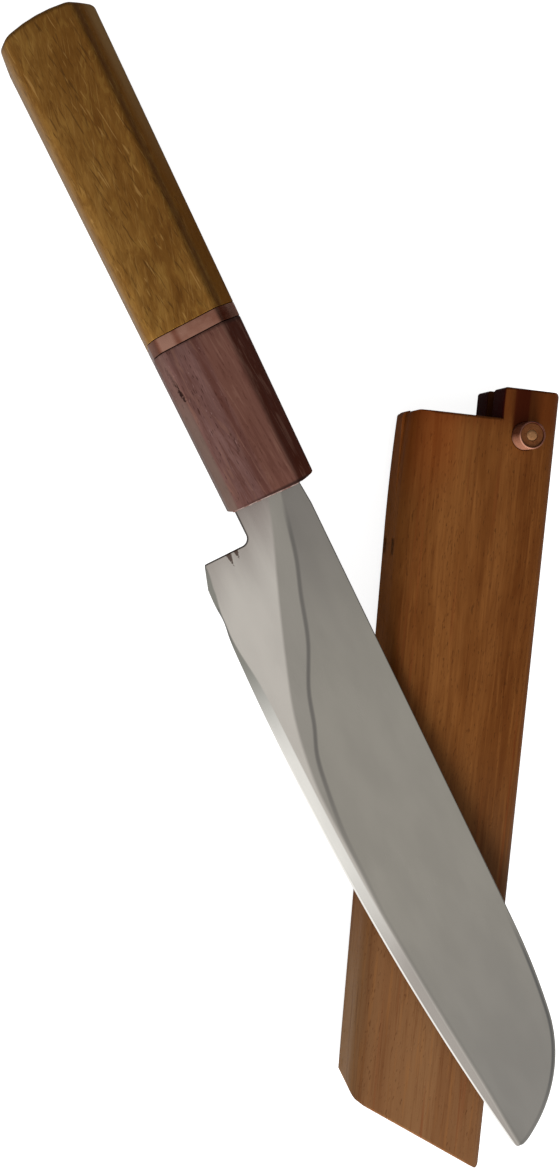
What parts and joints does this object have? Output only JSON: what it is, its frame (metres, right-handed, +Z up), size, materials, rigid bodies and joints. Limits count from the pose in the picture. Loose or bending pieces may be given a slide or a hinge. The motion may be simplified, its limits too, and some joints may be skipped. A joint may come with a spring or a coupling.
{
  "type": "kitchen knife with saya",
  "caption": "Slim kitchen knife with a straight spine and dropped tip, octagonal handle of two woods with a copper band, resting across its pinned wooden saya.",
  "frame": {"origin": "middle of the saya's underside, on the surface the saya lies on", "axes": "+Z up, +Y along the saya towards its mouth, +X towards the saya's side that takes the cutting edge"},
  "size_m": [0.155, 0.2741, 0.0272],
  "materials": {
    "saya_wood": "oiled, satin",
    "copper": "brushed and slightly darkened copper",
    "pin_wood": "oiled, satin",
    "pin_core_wood": "oiled, satin",
    "blade_steel": "fine polish with a ground edge",
    "dowel_wood": "raw",
    "ferrule_wood": "oiled, satin",
    "seal_resin": "matte",
    "handle_wood": "oiled, satin"
  },
  "bodies": {
    "saya": {"saya_front_board": "saya_wood", "saya_back_board": "saya_wood", "saya_spine_rail": "saya_wood", "saya_edge_rail": "saya_wood", "saya_end_block": "saya_wood"},
    "knife": {"blade": "blade_steel", "tang_dowel": "dowel_wood", "ferrule": "ferrule_wood", "slot_seal": "seal_resin", "copper_spacer": "copper", "handle_body": "handle_wood"},
    "pin": {"pin_sleeve": "copper", "pin_plug": "pin_wood", "pin_core": "pin_core_wood"}
  },
  "joints": [
    {"name": "knife_lift", "type": "slide", "parent": "saya", "child": "knife", "axis": [0, 0, 1], "range_m": [0, 0.06]},
    {"name": "pin_pull", "type": "slide", "parent": "saya", "child": "pin", "axis": [0, 0, 1], "range_m": [0, 0.03]}
  ]
}
